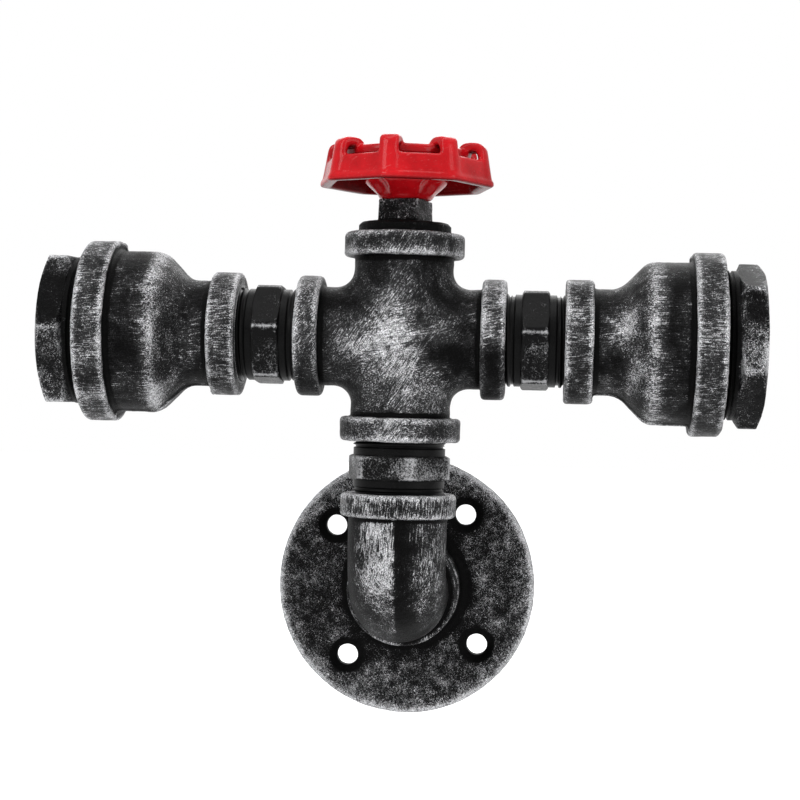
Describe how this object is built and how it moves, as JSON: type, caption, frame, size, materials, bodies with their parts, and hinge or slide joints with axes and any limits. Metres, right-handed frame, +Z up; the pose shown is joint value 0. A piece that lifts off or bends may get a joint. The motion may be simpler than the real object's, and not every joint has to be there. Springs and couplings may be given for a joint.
{
  "type": "pipe wall light",
  "caption": "Wall light built from pipe fittings: a round wall flange and elbow carry a cross with a lamp head on each side and a turning handwheel on top.",
  "frame": {"origin": "centre of the wall flange's back face, on the wall", "axes": "+Z up, +Y into the wall, +X to the right for someone who faces the wall, along the line of the two lamp heads; the light stands out towards -Y"},
  "size_m": [0.202, 0.0739, 0.1693],
  "materials": {
    "cast_iron_body": "charcoal black cast iron with silver-grey dry-brushed wear",
    "thread_steel": "blackened steel, satin, worn on the corners",
    "red_enamel": "glossy red enamel over cast iron, slightly chipped",
    "plated_steel": "zinc plated",
    "spring_steel": "bright spring wire",
    "porcelain": "glazed white porcelain",
    "terminal_ceramic": "unglazed steatite",
    "nickelled_brass": "nickelled brass, drawn",
    "brass": "satin",
    "wire_brown": "brown insulation",
    "wire_blue": "blue insulation"
  },
  "bodies": {
    "pipework": {"wall_flange": "cast_iron_body", "flange_nipple": "thread_steel", "earth_screw": "brass", "earth_washer": "brass", "elbow": "cast_iron_body", "lower_hex_nipple": "thread_steel", "cross": "cast_iron_body", "top_plug": "thread_steel", "wheel_sleeve": "plated_steel", "wheel_washer": "plated_steel", "wheel_spring_washer": "plated_steel", "wheel_screw": "plated_steel", "terminal_block": "terminal_ceramic", "terminal_clamps": "brass", "clamp_screws": "plated_steel", "left_hex_nipple": "thread_steel", "left_reducer": "cast_iron_body", "left_bushing": "cast_iron_body", "left_lampholder_body": "porcelain", "left_socket_shell": "nickelled_brass", "left_shell_rivet": "brass", "left_retaining_ring": "plated_steel", "left_plunger_spring": "spring_steel", "left_live_terminal": "brass", "left_neutral_terminal": "brass", "left_terminal_screws": "plated_steel", "left_live_wire": "wire_brown", "left_neutral_wire": "wire_blue", "right_hex_nipple": "thread_steel", "right_reducer": "cast_iron_body", "right_bushing": "cast_iron_body", "right_lampholder_body": "porcelain", "right_socket_shell": "nickelled_brass", "right_shell_rivet": "brass", "right_retaining_ring": "plated_steel", "right_plunger_spring": "spring_steel", "right_live_terminal": "brass", "right_neutral_terminal": "brass", "right_terminal_screws": "plated_steel", "right_live_wire": "wire_brown", "right_neutral_wire": "wire_blue"},
    "handwheel": {"handwheel": "red_enamel"},
    "left_plunger": {"left_centre_plunger": "brass"},
    "right_plunger": {"right_centre_plunger": "brass"}
  },
  "joints": [
    {"name": "handwheel_turn", "type": "hinge", "parent": "pipework", "child": "handwheel", "pos_m": [0, -0.048, 0.118], "axis": [0, 0, 1], "continuous": true},
    {"name": "left_contact_press", "type": "slide", "parent": "pipework", "child": "left_plunger", "axis": [1, 0, 0], "range_m": [0, 0.0015], "stiffness_N_per_m": 2000, "springref_m": -0.001, "deforming": ["left_plunger_spring"]},
    {"name": "right_contact_press", "type": "slide", "parent": "pipework", "child": "right_plunger", "axis": [-1, 0, 0], "range_m": [0, 0.0015], "stiffness_N_per_m": 2000, "springref_m": -0.001, "deforming": ["right_plunger_spring"]}
  ]
}
